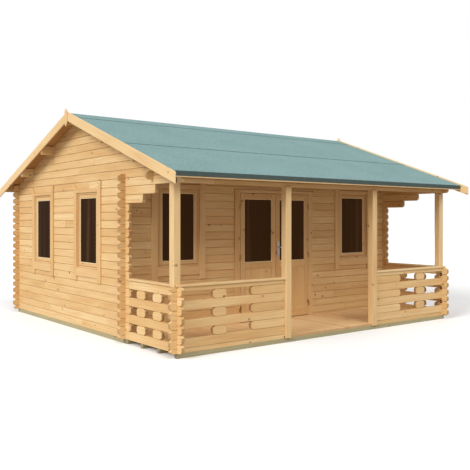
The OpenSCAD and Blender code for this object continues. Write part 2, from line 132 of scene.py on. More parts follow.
def add(tree, kind, links=None, **settings):
    """Adds one node with its settings, and its inputs as sockets to link or as values."""
    node = tree.nodes.new(kind)
    for key, value in settings.items():
        setattr(node, key, value)
    for key, value in (links or {}).items():
        socket = node.inputs[key]
        if isinstance(value, bpy.types.NodeSocket):
            tree.links.new(value, socket)
        else:
            socket.default_value = value
    return node


def linear(hex_colour):
    """Linear RGBA of an sRGB hex colour."""
    channels = [int(hex_colour[k:k + 2], 16) / 255 for k in (1, 3, 5)]
    return [c / 12.92 if c <= 0.04045 else ((c + 0.055) / 1.055) ** 2.4 for c in channels] + [1.0]


def placed(name, mesh):
    """An object that shows the mesh where it is."""
    piece = bpy.data.objects.new(name, mesh)
    bpy.context.scene.collection.objects.link(piece)
    return piece


def new_finish(name):
    """An empty material with its output and a Principled shader."""
    finish = bpy.data.materials.new(name)
    finish.use_nodes = True
    tree = finish.node_tree
    tree.nodes.clear()
    shader = add(tree, "ShaderNodeBsdfPrincipled")
    add(tree, "ShaderNodeOutputMaterial", {"Surface": shader.outputs["BSDF"]})
    return finish, tree, shader


def with_stops(node, *stops):
    """The colour that comes out of a colour ramp given its stops, each (position, hex colour)."""
    while len(node.color_ramp.elements) < len(stops):
        node.color_ramp.elements.new(0.5)
    for element, (position, colour) in zip(node.color_ramp.elements, stops):
        element.position = position
        element.color = linear(colour)
    return node.outputs["Color"]


def softwood(name, pale, middling, dark, knot, flush, roughness, contrast=1.0):
    """Planed spruce or pine as a solid pattern around each piece's own heart line.

    Every piece carries its place within its timber as the attribute grain, with x along the
    fibres, and a random tone. Growth rings are 3 to 4 mm apart in the real wood, too fine to
    show, so they are drawn 13 mm apart. Knots lie about 0.14 m apart and run through the
    thickness, as branches do.
    """
    finish, tree, shader = new_finish(name)
    grain = add(tree, "ShaderNodeAttribute", attribute_name="grain").outputs["Vector"]
    tone = add(tree, "ShaderNodeAttribute", attribute_name="tone").outputs["Fac"]

    drawn_out = add(tree, "ShaderNodeMapping", {"Vector": grain, "Scale": (0.09, 1, 1)})
    bend = add(tree, "ShaderNodeTexNoise", {"Vector": drawn_out.outputs[0], "Scale": 16, "Detail": 2})
    centred = add(tree, "ShaderNodeVectorMath", {0: bend.outputs["Color"], 1: (0.5, 0.5, 0.5)},
                  operation="SUBTRACT")
    shift = add(tree, "ShaderNodeVectorMath", {0: centred.outputs[0], "Scale": 26 * MM}, operation="SCALE")
    bent = add(tree, "ShaderNodeVectorMath", {0: grain, 1: shift.outputs[0]}, operation="ADD")
    ring_period = 13 * MM
    rings = add(tree, "ShaderNodeTexWave", {"Vector": bent.outputs[0], "Scale": math.pi / (10 * ring_period)},
                wave_type="RINGS", rings_direction="X")

    fibre = add(tree, "ShaderNodeMapping", {"Vector": grain, "Scale": (2.2, 120, 120)})
    streaks = add(tree, "ShaderNodeTexNoise", {"Vector": fibre.outputs[0], "Scale": 1, "Detail": 3})
    cloud = add(tree, "ShaderNodeMapping", {"Vector": grain, "Scale": (1.1, 7, 7)})
    clouds = add(tree, "ShaderNodeTexNoise", {"Vector": cloud.outputs[0], "Scale": 1, "Detail": 2})

    weights = [contrast * w for w in (0.16, 0.55, 0.22, 0.36)]
    depth = 0.36 - sum(weights) / 2
    parts = (rings.outputs["Fac"], streaks.outputs["Fac"], tone, clouds.outputs["Fac"])
    for part, weight in zip(parts, weights):
        depth = add(tree, "ShaderNodeMath", {0: part, 1: weight, 2: depth},
                    operation="MULTIPLY_ADD").outputs[0]
    body = with_stops(add(tree, "ShaderNodeValToRGB", {"Fac": depth}),
                      (0.05, pale), (0.40, middling), (0.90, dark))

    blush = with_stops(add(tree, "ShaderNodeValToRGB", {"Fac": clouds.outputs["Fac"]}),
                       (0.52, "#000000"), (0.74, "#8c8c8c"))
    flushed = add(tree, "ShaderNodeMix", {"Factor": blush, 6: body, 7: linear(flush)}, data_type="RGBA")

    through = add(tree, "ShaderNodeMapping", {"Vector": bent.outputs[0], "Scale": (0.8, 0.3, 1)})
    knot_map = add(tree, "ShaderNodeTexVoronoi", {"Vector": through.outputs[0], "Scale": 1 / 0.14})
    size = add(tree, "ShaderNodeSeparateColor", {"Color": knot_map.outputs["Color"]}).outputs[0]
    size = add(tree, "ShaderNodeMath", {0: size, 1: 0.9, 2: 0.5}, operation="MULTIPLY_ADD").outputs[0]
    near = add(tree, "ShaderNodeMath", {0: knot_map.outputs["Distance"], 1: size}, operation="DIVIDE")
    knot_mask = with_stops(add(tree, "ShaderNodeValToRGB", {"Fac": near.outputs[0]}),
                           (0.0, "#ffffff"), (0.07, "#dcdcdc"), (0.10, "#4a4a4a"), (0.19, "#000000"))
    colour = add(tree, "ShaderNodeMix", {"Factor": knot_mask, 6: flushed.outputs[2], 7: linear(knot)},
                 data_type="RGBA")

    # end grain is darker and browner than the planed sides, and this darkening at each line's end is also
    # painted shade on the log tips
    end_grain_and_shade = add(tree, "ShaderNodeAttribute", attribute_name="end_grain_and_shade").outputs["Fac"]
    sawn_and_shaded = add(tree, "ShaderNodeMath", {0: end_grain_and_shade, 1: 0.45}, operation="MULTIPLY").outputs[0]
    colour = add(tree, "ShaderNodeMix", {"Factor": sawn_and_shaded, 6: colour.outputs[2], 7: linear(knot)},
                 data_type="RGBA")

    relief = add(tree, "ShaderNodeMath", {0: rings.outputs["Fac"], 1: 0.5, 2: streaks.outputs["Fac"]},
                 operation="MULTIPLY_ADD")
    bump = add(tree, "ShaderNodeBump", {"Height": relief.outputs[0], "Strength": 0.35, "Distance": 0.6 * MM})
    dullness = add(tree, "ShaderNodeMath", {0: streaks.outputs["Fac"], 1: 0.12, 2: roughness},
                   operation="MULTIPLY_ADD")
    tree.links.new(colour.outputs[2], shader.inputs["Base Color"])
    tree.links.new(dullness.outputs[0], shader.inputs["Roughness"])
    tree.links.new(bump.outputs["Normal"], shader.inputs["Normal"])
    shader.inputs["IOR"].default_value = 1.5
    shader.inputs["Specular IOR Level"].default_value = 0.3
    return finish


# ---- timbers: logs, boards, posts and rails are all one sweep of a chamfered section ----

def timber_sweep():
    """Node tree that sweeps a chamfered rectangle along every line of the mesh it is given.

    A line's points carry taper, which shrinks the section, and low and high, the heights
    between which the timber is kept. The result carries grain and tone for the wood.
    """
    tree = bpy.data.node_groups.new("timber_sweep", "GeometryNodeTree")
    face = tree.interface
    face.new_socket("Lines", in_out="INPUT", socket_type="NodeSocketGeometry")
    for name, kind in (("Width", "NodeSocketFloat"), ("Height", "NodeSocketFloat"),
                       ("Chamfer", "NodeSocketFloat"), ("Seed", "NodeSocketInt"),
                       ("Wood", "NodeSocketMaterial")):
        face.new_socket(name, in_out="INPUT", socket_type=kind)
    face.new_socket("Timbers", in_out="OUTPUT", socket_type="NodeSocketGeometry")
    given = add(tree, "NodeGroupInput").outputs

    place = add(tree, "GeometryNodeInputPosition").outputs[0]
    run = add(tree, "GeometryNodeSplineParameter").outputs["Length"]
    at_end = add(tree, "GeometryNodeCurveEndpointSelection", {"Start Size": 1, "End Size": 1}).outputs[0]
    which = add(tree, "GeometryNodeCurveOfPoint").outputs["Curve Index"]
    chance = add(tree, "FunctionNodeRandomValue", {"ID": which, "Seed": given["Seed"]},
                 data_type="FLOAT_VECTOR").outputs[0]
    lines = add(tree, "GeometryNodeMeshToCurve", {"Mesh": given["Lines"]}).outputs[0]
    # end_grain_and_shade marks each line's end points, where the wood is darkened as end grain and as painted
    # shade on the log tips
    for name, value, kind in (("axis", place, "FLOAT_VECTOR"), ("run", run, "FLOAT"),
                              ("chance", chance, "FLOAT_VECTOR"), ("end_grain_and_shade", at_end, "FLOAT")):
        lines = add(tree, "GeometryNodeStoreNamedAttribute", {"Geometry": lines, "Name": name},
                    data_type=kind, domain="POINT")
        tree.links.new(value, lines.inputs["Value"])
        lines = lines.outputs[0]
    lines = add(tree, "GeometryNodeSetCurveNormal", {"Curve": lines}, mode="Z_UP").outputs[0]

    section = add(tree, "GeometryNodeCurvePrimitiveQuadrilateral",
                  {"Width": given["Width"], "Height": given["Height"]}).outputs[0]
    section = add(tree, "GeometryNodeFilletCurve",
                  {"Curve": section, "Count": 1, "Radius": given["Chamfer"]}, mode="POLY").outputs[0]
    marked = add(tree, "GeometryNodeStoreNamedAttribute", {"Geometry": section, "Name": "across"},
                 data_type="FLOAT_VECTOR", domain="POINT")
    tree.links.new(place, marked.inputs["Value"])
    swept = add(tree, "GeometryNodeCurveToMesh",
                {"Curve": lines, "Profile Curve": marked.outputs[0], "Fill Caps": True}).outputs[0]

    known = {name: add(tree, "GeometryNodeInputNamedAttribute", {"Name": name}, data_type=kind).outputs[0]
             for kind, names in (("FLOAT_VECTOR", ("axis", "taper", "chance", "across")),
                                 ("FLOAT", ("run", "low", "high"))) for name in names}
    reach = add(tree, "ShaderNodeVectorMath", {0: place, 1: known["axis"]}, operation="SUBTRACT").outputs[0]
    shrunk = add(tree, "ShaderNodeVectorMath", {0: reach, 1: known["taper"]}, operation="MULTIPLY").outputs[0]
    moved = add(tree, "ShaderNodeVectorMath", {0: known["axis"], 1: shrunk}, operation="ADD").outputs[0]
    moved = add(tree, "ShaderNodeSeparateXYZ", {0: moved}).outputs
    kept = add(tree, "ShaderNodeMath", {0: moved["Z"], 1: known["low"]}, operation="MAXIMUM")
    kept = add(tree, "ShaderNodeMath", {0: kept.outputs[0], 1: known["high"]}, operation="MINIMUM")
    spot = add(tree, "ShaderNodeCombineXYZ", {"X": moved["X"], "Y": moved["Y"], "Z": kept.outputs[0]})
    swept = add(tree, "GeometryNodeSetPosition", {"Geometry": swept, "Position": spot.outputs[0]}).outputs[0]

    # the heart of each tree lies somewhere in or near its timber
    luck = add(tree, "ShaderNodeSeparateXYZ", {0: known["chance"]}).outputs
    across = add(tree, "ShaderNodeSeparateXYZ", {0: known["across"]}).outputs
    along = add(tree, "ShaderNodeMath", {0: luck["X"], 1: TREE_LENGTH, 2: known["run"]},
                operation="MULTIPLY_ADD").outputs[0]
    heart = [add(tree, "ShaderNodeMath", {0: luck[a], 1: HEART_REACH, 2: across[b]},
                 operation="MULTIPLY_ADD").outputs[0] for a, b in (("Y", "X"), ("Z", "Y"))]
    grain = add(tree, "ShaderNodeCombineXYZ", {"X": along, "Y": heart[0], "Z": heart[1]}).outputs[0]
    for name, value, kind in (("grain", grain, "FLOAT_VECTOR"), ("tone", luck["Z"], "FLOAT")):
        swept = add(tree, "GeometryNodeStoreNamedAttribute", {"Geometry": swept, "Name": name},
                    data_type=kind, domain="POINT")
        tree.links.new(value, swept.inputs["Value"])
        swept = swept.outputs[0]
    real = add(tree, "GeometryNodeRealizeInstances", {"Geometry": swept}).outputs[0]
    finished = add(tree, "GeometryNodeSetMaterial", {"Geometry": real, "Material": given["Wood"]})
    add(tree, "NodeGroupOutput", {"Timbers": finished.outputs[0]})
    return tree


def grown(name, mesh, tree, values):
    """A plain mesh object from a mesh that a node tree works on, with the tree's named values."""
    piece = placed(name, mesh)
    modifier = piece.modifiers.new(tree.name, "NODES")
    modifier.node_group = tree
    for socket in tree.interface.items_tree:
        if socket.name in values:
            modifier[socket.identifier] = values[socket.name]
    shown = piece.evaluated_get(bpy.context.evaluated_depsgraph_get())
    piece.data = bpy.data.meshes.new_from_object(shown)
    piece.modifiers.clear()
    piece.data.shade_flat()
    return piece


def end_rings(kind):
    """Rings at a log's end: (distance from the end, cut below, cut above, shrink)."""
    if kind == "square":
        return [(0.0, 0.0, 0.0, ARRIS), (ARRIS, 0.0, 0.0, 0.0)]
    rings = []
    for k in range(ROUND_STEPS + 1):
        turn = k * math.pi / 2 / ROUND_STEPS
        shrink = 0.0 if k else ARRIS
        if kind == "corbel":
            back, cut = (CORBEL_ROUND * (1 - part(turn)) for part in (math.cos, math.sin))
            rings.append((back, cut, 0.0, shrink))
        else:
            share = k / ROUND_STEPS
            cut = TIP_CUT * (1 - share) ** 1.35
            rings.append((TIP_LENGTH * share, cut, cut, shrink))
    return rings


def timber(start, end, low=-FAR, high=FAR, ends=("square", "square")):
    """One timber's line: its points as (place, shrink, low, high)."""
    start, end = Vector(start), Vector(end)
    length = (end - start).length
    along = (end - start) / length
    room = 0.45 * (high - low)
    rings = [(d, *rest) for d, *rest in end_rings(ends[0])]
    rings += [(length - d, *rest) for d, *rest in reversed(end_rings(ends[1]))]
    return [(start + along * d, shrink, low + min(below, room), high - min(above, room))
            for d, below, above, shrink in rings]


def sweep(name, timbers, width, height, chamfer, wood, seed):
    """Makes the timbers as one plain mesh. Width is level and height stands across it."""
    points, edges, tapers, lows, highs = [], [], [], [], []
    for line in timbers:
        first = len(points)
        run = line[-1][0] - line[0][0]
        for place, shrink, low, high in line:
            thin, short = 1 - 2 * shrink / width, 1 - 2 * shrink / height
            if abs(run.z) > 0.9 * run.length:
                taper = (thin, short, 1.0)
            elif abs(run.x) > abs(run.y):
                taper = (1.0, thin, short)
            else:
                taper = (thin, 1.0, short)
            points.append(place)
            tapers.append(taper)
            lows.append(low)
            highs.append(high)
        edges += [(k, k + 1) for k in range(first, len(points) - 1)]
    mesh = bpy.data.meshes.new(name)
    mesh.from_pydata(points, edges, [])
    mesh.attributes.new("taper", "FLOAT_VECTOR", "POINT").data.foreach_set(
        "vector", [c for taper in tapers for c in taper])
    mesh.attributes.new("low", "FLOAT", "POINT").data.foreach_set("value", lows)
    mesh.attributes.new("high", "FLOAT", "POINT").data.foreach_set("value", highs)
    return grown(name, mesh, TIMBER_SWEEP,
                 {"Width": width, "Height": height, "Chamfer": chamfer, "Seed": seed, "Wood": wood})


def logs(name, timbers, seed, *nodes, trim=None):
    """Logs with a narrow dark slot between them, closed by a tongue along each log's middle."""
    slotted, tongues = [], []
    for line in timbers:
        slotted.append([(place, shrink, low + SEAM / 2, high - SEAM / 2)
                        for place, shrink, low, high in line])
        start, end = line[0][0], line[-1][0]
        back = (end - start).normalized() * TONGUE_BACK
        half = len(line) // 2
        tongues.append([(place + (back if k < half else -back), shrink, low, high)
                        for k, (place, shrink, low, high) in enumerate(line)])
    piece = joined(name, sweep(name + "_outside", slotted, log_t, log_h, GROOVE, SPRUCE, seed),
                   sweep(name + "_tongues", tongues, TONGUE, log_h, ARRIS, SPRUCE, seed + 100))
    if trim:
        trim(piece)
    done(piece, "cabin", "spruce_logs", *nodes)


def planed(name, timbers, width, height, chamfer, seed, *nodes):
    """Planed timbers of the cabin's own body, attached to it."""
    done(sweep(name, timbers, width, height, chamfer, PLANED_PINE, seed), "cabin", "planed_timber", *nodes)


def joined(name, *pieces):
    """One piece from several."""
    with bpy.context.temp_override(active_object=pieces[0], selected_editable_objects=list(pieces)):
        bpy.ops.object.join()
    pieces[0].name = name
    return pieces[0]


# ---- boards with shaped outlines ----

def inset(outline, width):
    """An outline drawn in by width all round."""
    lines = []
    for (ax, ay), (bx, by) in zip(outline, outline[1:] + outline[:1]):
        length = math.hypot(bx - ax, by - ay)
        nx, ny = -(by - ay) / length, (bx - ax) / length
        lines.append((nx, ny, nx * ax + ny * ay + width))
    corners = []
    for (a, b, c), (d, e, f) in zip(lines[-1:] + lines[:-1], lines):
        det = a * e - b * d
        corners.append(((c * e - b * f) / det, (a * f - c * d) / det))
    return corners


class Boards:
    """Collects boards cut to outlines into one mesh, each with its own grain and tone."""

    def __init__(self, seed):
        self.chance = random.Random(seed)
        self.points, self.faces, self.grain, self.tone = [], [], [], []

    def board(self, outline, place, near, far, along=(0.0, 1.0), arris=ARRIS):
        """A board whose outline turns anticlockwise, between two depths.

        place turns (u, v, depth) into a point, and along is the fibres' direction in u and v.
        """
        first = len(self.points)
        heart = [self.chance.uniform(0, reach) for reach in (TREE_LENGTH, HEART_REACH, HEART_REACH)]
        tone = self.chance.random()
        drawn_in = inset(outline, arris)
        for ring, depth in ((drawn_in, near), (outline, near + arris),
                            (outline, far - arris), (drawn_in, far)):
            for u, v in ring:
                self.points.append(place(u, v, depth))
                self.grain.append((u * along[0] + v * along[1] + heart[0], depth + heart[1],
                                   u * along[1] - v * along[0] + heart[2]))
                self.tone.append(tone)
        n = len(outline)
        self.faces.append([first + k for k in range(n)])
        self.faces.append([first + 3 * n + k for k in reversed(range(n))])
        for layer in range(3):
            for k in range(n):
                a, b = first + layer * n + k, first + layer * n + (k + 1) % n
                self.faces.append([a, b, b + n, a + n])

    def strip(self, u0, v0, u1, v1, place, near, far, arris=ARRIS):
        """A rectangular board with its fibres along its longer side."""
        along = (1.0, 0.0) if u1 - u0 > v1 - v0 else (0.0, 1.0)
        self.board([(u0, v0), (u1, v0), (u1, v1), (u0, v1)], place, near, far, along, arris)

    def made(self, name, wood):
        mesh = bpy.data.meshes.new(name)
        mesh.from_pydata(self.points, [], self.faces)
        mesh.attributes.new("grain", "FLOAT_VECTOR", "POINT").data.foreach_set(
            "vector", [c for point in self.grain for c in point])
        mesh.attributes.new("tone", "FLOAT", "POINT").data.foreach_set("value", self.tone)
        outward(mesh)
        mesh.materials.append(wood)
        return placed(name, mesh)


def outward(mesh):
    """Turns every closed shell's faces outwards."""
    work = bmesh.new()
    work.from_mesh(mesh)
    bmesh.ops.recalc_face_normals(work, faces=work.faces)
    work.to_mesh(mesh)
    work.free()


def done(piece, body, slot, *nodes):
    """Attaches a finished piece to its body and hides the nodes it stands for; slot, the name of its finish, is
    not used.
    """
    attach(piece, body)
    if nodes:
        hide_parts(*nodes)
    return piece


# ---- log walls ----

def rows(z0, z1, phase):
    """The courses between two heights: (middle, lowest, highest) of each log."""
    found = []
    for n in range(-1, WALL_COURSES + 12):
        low = course_z(n + phase)
        if low + log_h > z0 + MM and low < z1 - MM:
            found.append((low + log_h / 2, max(low, z0), min(low + log_h, z1)))
    return found


def parts_of_log(start, end, low, high, openings):
    """What is left of a log beside, under and over openings (u0, z0, u1, z1)."""
    parts = [(start, end, low, high)]
    for u0, z0, u1, z1 in openings:
        left = []
        for s, e, bottom, top in parts:
            if e <= u0 or s >= u1 or top <= z0 + MM or bottom >= z1 - MM:
                left.append((s, e, bottom, top))
                continue
            if s < u0:
                left.append((s, u0, bottom, top))
            if bottom < z0 - MM:
                left.append((max(s, u0), min(e, u1), bottom, z0))
            if top > z1 + MM:
                left.append((max(s, u0), min(e, u1), z1, top))
            if e > u1:
                left.append((u1, e, bottom, top))
        parts = left
    return parts


def butt_joints(start, end, chance):
    """Places where a long log is made of two or three lengths."""
    if end - start < 4 * SHORTEST_LENGTH:
        return []
    spots = [chance.uniform(start + SHORTEST_LENGTH, end - SHORTEST_LENGTH)
             for _ in range(chance.choice((0, 1, 1, 2)))]
    return sorted(s for k, s in enumerate(spots) if all(abs(s - t) > SHORTEST_LENGTH for t in spots[:k]))


def log_lengths(point, centre, start, end, low, high, openings, ends, chance):
    """Timbers of one log along a wall. point turns (along, height) into a place."""
    timbers = []
    joints = butt_joints(start, end, chance)
    for s, e, bottom, top in parts_of_log(start, end, low, high, openings):
        cuts = [s] + [j for j in joints if s + SHORTEST_STUB < j < e - SHORTEST_STUB] + [e]
        for a, b in zip(cuts, cuts[1:]):
            kinds = (ends[0] if a == start else "square", ends[1] if b == end else "square")
            timbers.append(timber(point(a, centre), point(b, centre), bottom, top, kinds))
    return timbers


def along_front(y):
    return lambda u, z: (u, y, z)


def along_side(x):
    return lambda u, z: (x, u, z)


def cut_under_roof(piece):
    """Trims a gable's logs to the underside of the roof boards."""
    for vertex in piece.data.vertices:
        reach = max(0.0, roof_reach(vertex.co.z))
        vertex.co.y = max(-reach, min(reach, vertex.co.y))
    piece.data.update()


WINDOW_W = 700 * MM
front_window_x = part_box("front_window_frames")[1].x - WINDOW_W / 2
front_window_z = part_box("front_window_frames")[0].z
side_window_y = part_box("side_window_frames")[1].y - WINDOW_W / 2 - side_mid_y
side_window_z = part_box("side_window_frames")[0].z
window_h = extent("front_window_frames", Z)
front_windows = [(s * front_window_x - WINDOW_W / 2, front_window_z,
                  s * front_window_x + WINDOW_W / 2, front_window_z + window_h) for s in (-1, 1)]
side_windows = [(side_mid_y + s * side_window_y - WINDOW_W / 2, side_window_z,
                 side_mid_y + s * side_window_y + WINDOW_W / 2, side_window_z + window_h) for s in (-1, 1)]
door_frame_low, door_frame_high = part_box("door_frame")
doorway = (door_frame_low.x, bearer_top - 1, door_frame_high.x, door_frame_high.z)


def front_wall():
    chance = random.Random(11)
    plate_z = course_z(WALL_COURSES + 0.5)
    timbers = []
    for centre, low, high in rows(bearer_top, roof_z(front_y - half_t), 0.5):
        over_plate = centre > plate_z
        reach = side_x - half_t if over_plate else tip_x
        kind = "square" if over_plate else "round"
        timbers += log_lengths(along_front(front_y), centre, -reach, reach, low, high,
                               front_windows + [doorway], (kind, kind), chance)
    logs("front_wall_logs", timbers, 21, "front_wall_left", "front_wall_right", "front_wall_upper")


def back_wall():
    chance = random.Random(12)
    timbers = []
    for centre, low, high in rows(bearer_top, roof_z(back_y), 0.5):
        timbers += log_lengths(along_front(back_y), centre, -tip_x, tip_x, low, high, [],
                               ("round", "round"), chance)
    logs("back_wall_logs", timbers, 22, "back_wall")


def side_wall(side, name, seed):
    """A side wall with its gable, which steps out over the veranda on two corbels."""
    chance = random.Random(seed)
    wall_tip = front_y - log_end
    timbers = []
    for n, (centre, low, high) in enumerate(rows(bearer_top, ridge_z - 40 * MM, 0)):
        start, end, kinds = wall_tip, back_y + log_end, ["round", "round"]
        if n < RAIL_COURSES:
            kinds[0] = "square"
        elif CORBEL_COURSE <= n < CORBEL_COURSE + 2:
            start, kinds[0] = wall_face_y - CORBEL_REACH[n - CORBEL_COURSE], "corbel"
        elif n == CORBEL_COURSE + 2:
            start, kinds[0] = tip_y, "corbel"
        elif n > CORBEL_COURSE + 2:
            reach = roof_reach(low) + ROOF_TRIM
            start, end = -min(reach, -tip_y), min(reach, -tip_y)
            kinds = ["square", "square"]
        timbers += log_lengths(along_side(side * side_x), centre, start, end, low, high,
                               side_windows, kinds, chance)
    logs(name + "_wall_logs", timbers, seed + 10, name + "_wall", name + "_gable", trim=cut_under_roof)


# ---- veranda ----

# gaps in the side railings, as distances in front of the front wall's face
SIDE_GAPS = [(147 * MM, 300 * MM), (524 * MM, 707 * MM), (929 * MM, 1125 * MM)]
# the front railings have a gap at the corner, a block and a second gap
CORNER_GAP = 480 * MM
BLOCK = 220 * MM
SECOND_GAP = 390 * MM


def side_railing(side, name, seed):
    timbers = []
    for n, (centre, low, high) in enumerate(rows(bearer_top, rail_top, 0)):
        start, end = tip_y, front_y - log_end
        cuts = [start]
        if n % 2:
            for near, far in reversed(SIDE_GAPS):
                cuts += [wall_face_y - far, wall_face_y - near]
        cuts.append(end)
        for k in range(0, len(cuts), 2):
            kinds = ("round", "square" if cuts[k + 1] == end else "round")
            timbers.append(timber((side * side_x, cuts[k], centre), (side * side_x, cuts[k + 1], centre),
                                  low, high, kinds))
    logs(name + "_railing_logs", timbers, seed, name + "_railing")


def front_railing(side, name, seed):
    inner = min(abs(v) for v in (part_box("front_railing_" + name)[0].x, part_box("front_railing_" + name)[1].x))
    corner = side_x - half_t
    timbers = []
    for n, (centre, low, high) in enumerate(rows(bearer_top, rail_top, 0.5)):
        cuts = [inner]
        if n in (2, 4, 6):
            block = corner - CORNER_GAP
            cuts += [block - BLOCK - SECOND_GAP, block - BLOCK, block, corner]
        cuts.append(tip_x)
        for k in range(0, len(cuts), 2):
            kinds = ["square" if k == 0 and len(cuts) == 2 or cuts[k] == inner else "round", "round"]
            start, end = side * cuts[k], side * cuts[k + 1]
            if side < 0:
                start, end, kinds = end, start, kinds[::-1]
            timbers.append(timber((start, rail_y, centre), (end, rail_y, centre), low, high, kinds))
    logs("front_railing_" + name + "_logs", timbers, seed, "front_railing_" + name)


def beams():
    """The log beam over the posts and the log that ties the gables together."""
    chance = random.Random(15)
    reach = side_x + half_t
    timbers = []
    for centre, low, high in rows(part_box("front_beam")[0].z, roof_z(rail_y), 0.5):
        timbers += log_lengths(along_front(rail_y), centre, -reach, reach, low, high, [],
                               ("square", "square"), chance)
    logs("front_beam_logs", timbers, 31, "front_beam")
    low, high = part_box("veranda_tie_log")
    tie_y = middle("veranda_tie_log", Y)
    centre = (low.z + high.z) / 2
    line = timber((low.x, tie_y, centre), (high.x, tie_y, centre), low.z, high.z, ("round", "round"))
    logs("tie_log", [line], 32, "veranda_tie_log")


def posts_and_handrails():
    for node, seed in (("corner_posts", 41), ("inner_posts", 42)):
        low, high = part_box(node)
        post_w = high.y - low.y
        y = (low.y + high.y) / 2
        timbers = []
        for x in (low.x + post_w / 2, high.x - post_w / 2):
            timbers.append(timber((x, y, low.z), (x, y, high.z)))
        planed("planed_" + node, timbers, post_w, post_w, 5 * MM, seed, node)
    low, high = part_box("handrails")
    post_low, post_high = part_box("corner_posts")
    post_w = post_high.y - post_low.y
    rail_w = 2 * (rail_y - low.y)
    centre = (low.z + high.z) / 2
    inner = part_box("inner_posts")[1].x
    timbers = []
    for s in (-1, 1):
        ends = sorted((s * inner, s * (side_x - post_w / 2)))
        timbers.append(timber((ends[0], rail_y, centre), (ends[1], rail_y, centre)))
        timbers.append(timber((s * side_x, post_high.y, centre), (s * side_x, high.y, centre)))
    planed("planed_handrails", timbers, rail_w, high.z - low.z, 4 * MM, 43, "handrails")
    # in front of each corner post the front handrail goes on as a narrower nose
    nose_w = post_low.y - low.y
    timbers = []
    for s in (-1, 1):
        ends = sorted((s * (side_x - post_w / 2), s * high.x))
        y = low.y + nose_w / 2
        timbers.append(timber((ends[0], y, centre), (ends[1], y, centre)))
    planed("handrail_noses", timbers, nose_w, high.z - low.z, 4 * MM, 44)


# ---- floors and bearers ----

FLOOR_BOARD = 118 * MM


def floor_boards(name, node, seed, steps):
    """Boards from front to back. steps are (reach from the middle, front end), widest first."""
    low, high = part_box(node)
    thick = high.z - low.z
    count = round((high.x - low.x) / FLOOR_BOARD)
    pitch = (high.x - low.x) / count
    timbers = []
    for k in range(count):
        x = low.x + (k + 0.5) * pitch
        start = [front for reach, front in steps if abs(x) < reach][-1]
        timbers.append(timber((x, start, low.z + thick / 2), (x, high.y, low.z + thick / 2)))
    piece = sweep(name, timbers, pitch - 0.6 * MM, thick, 2.5 * MM, FLOOR_PINE, seed)
    done(piece, "cabin", "floor_boards", node)


def floors():
    low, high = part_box("veranda_floor")
    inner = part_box("inner_posts")[1].x
    floor_boards("veranda_boards", "veranda_floor", 51, [(FAR, rail_y + half_t), (inner, low.y)])
    floor_boards("room_boards", "cabin_floor", 52, [(FAR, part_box("cabin_floor")[0].y)])


def bearers():
    """Treated bearers: a frame with joists under the room, and rows under the veranda."""
    low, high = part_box("cabin_bearers")
    wide = tall = high.z - low.z
    centre = (low.z + high.z) / 2
    bays = 8
    pitch = (high.y - low.y - wide) / bays
    timbers = []
    for n in range(bays + 1):
        y, inside = low.y + wide / 2 + n * pitch, wide if 0 < n < bays else 0
        timbers.append(timber((low.x + inside, y, centre), (high.x - inside, y, centre)))
    for x in (low.x + wide / 2, high.x - wide / 2):
        timbers.append(timber((x, low.y + wide, centre), (x, high.y - wide, centre)))
    done(sweep("room_bearers", timbers, wide, tall, 2 * MM, TREATED, 53),
         "cabin", "treated_timber", "cabin_bearers")
    low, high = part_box("veranda_bearers")
    spots = [low.y + n * (high.y - low.y - wide) / 3 + wide / 2 for n in range(4)]
    timbers = [timber((low.x, y, centre), (high.x, y, centre)) for y in spots]
    piece = sweep("porch_bearers", timbers, wide, tall, 2 * MM, TREATED, 54)
    done(piece, "cabin", "treated_timber", "veranda_bearers")


# ---- roof ----

ROOF_BOARD = 94 * MM
SHEET = 3 * MM
LAP_Y = 1.65
LAP_WIDTH = 100 * MM
CAP_Y = extent("ridge_felt", Y) / 2
LAP_BLEED_AND_SHADOW = 13 * MM
BEND_STEPS = 4
PURLIN_RUNS = (1040 * MM, 1925 * MM)


def roof_boards(side, node, seed):
    """Tongued boards from the ridge down to the eave, with a vee at every joint."""
    count = round(2 * roof_x / ROOF_BOARD)
    pitch = 2 * roof_x / count
    timbers = []
    for k in range(count):
        x = -roof_x + (k + 0.5) * pitch
        top, foot = roof_z(0, deck_rise / 2), roof_z(deck_y, deck_rise / 2)
        timbers.append(timber((x, 0, top), (x, side * deck_y, foot)))
    piece = sweep(node + "_boards", timbers, pitch, deck_t, 3 * MM, ROOF_PINE, seed)
    for vertex in piece.data.vertices:
        if vertex.co.y * side < 0:
            vertex.co.y = 0.0
    done(piece, "cabin", "roof_boards", node)


def purlins():
    low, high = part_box("ridge_purlin")
    wide, tall = high.y - low.y, high.z - low.z
    centre = high.z - tall / 2
    timbers = [timber((low.x, 0, centre), (high.x, 0, centre), low.z, roof_z(wide / 2, 4 * MM))]
    planed("planed_ridge_purlin", timbers, wide, tall, 3 * MM, 61, "ridge_purlin")
    low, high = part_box("side_purlins")
    timbers = []
    for run in PURLIN_RUNS:
        for s in (-1, 1):
            centre = roof_z(run, 0) - tall / 2
            timbers.append(timber((low.x, s * run, centre), (high.x, s * run, centre)))
    planed("planed_side_purlins", timbers, wide, tall, 3 * MM, 62, "side_purlins")


def eave_boards():
    low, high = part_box("eave_boards")
    thick = high.y - deck_y
    boards = Boards(63)
    top = roof_z(deck_y, deck_rise)
    for s in (-1, 1):
        outline = [(deck_y, low.z), (deck_y + thick, low.z),
                   (deck_y + thick, top - slope * thick), (deck_y, top)]
        if s < 0:
            outline = [(-u, v) for u, v in reversed(outline)]
        boards.board(outline, lambda u, v, w: (w, u, v), low.x, high.x)
    piece = boards.made("planed_eave_boards", PLANED_PINE)
    done(piece, "cabin", "planed_timber", "eave_boards")


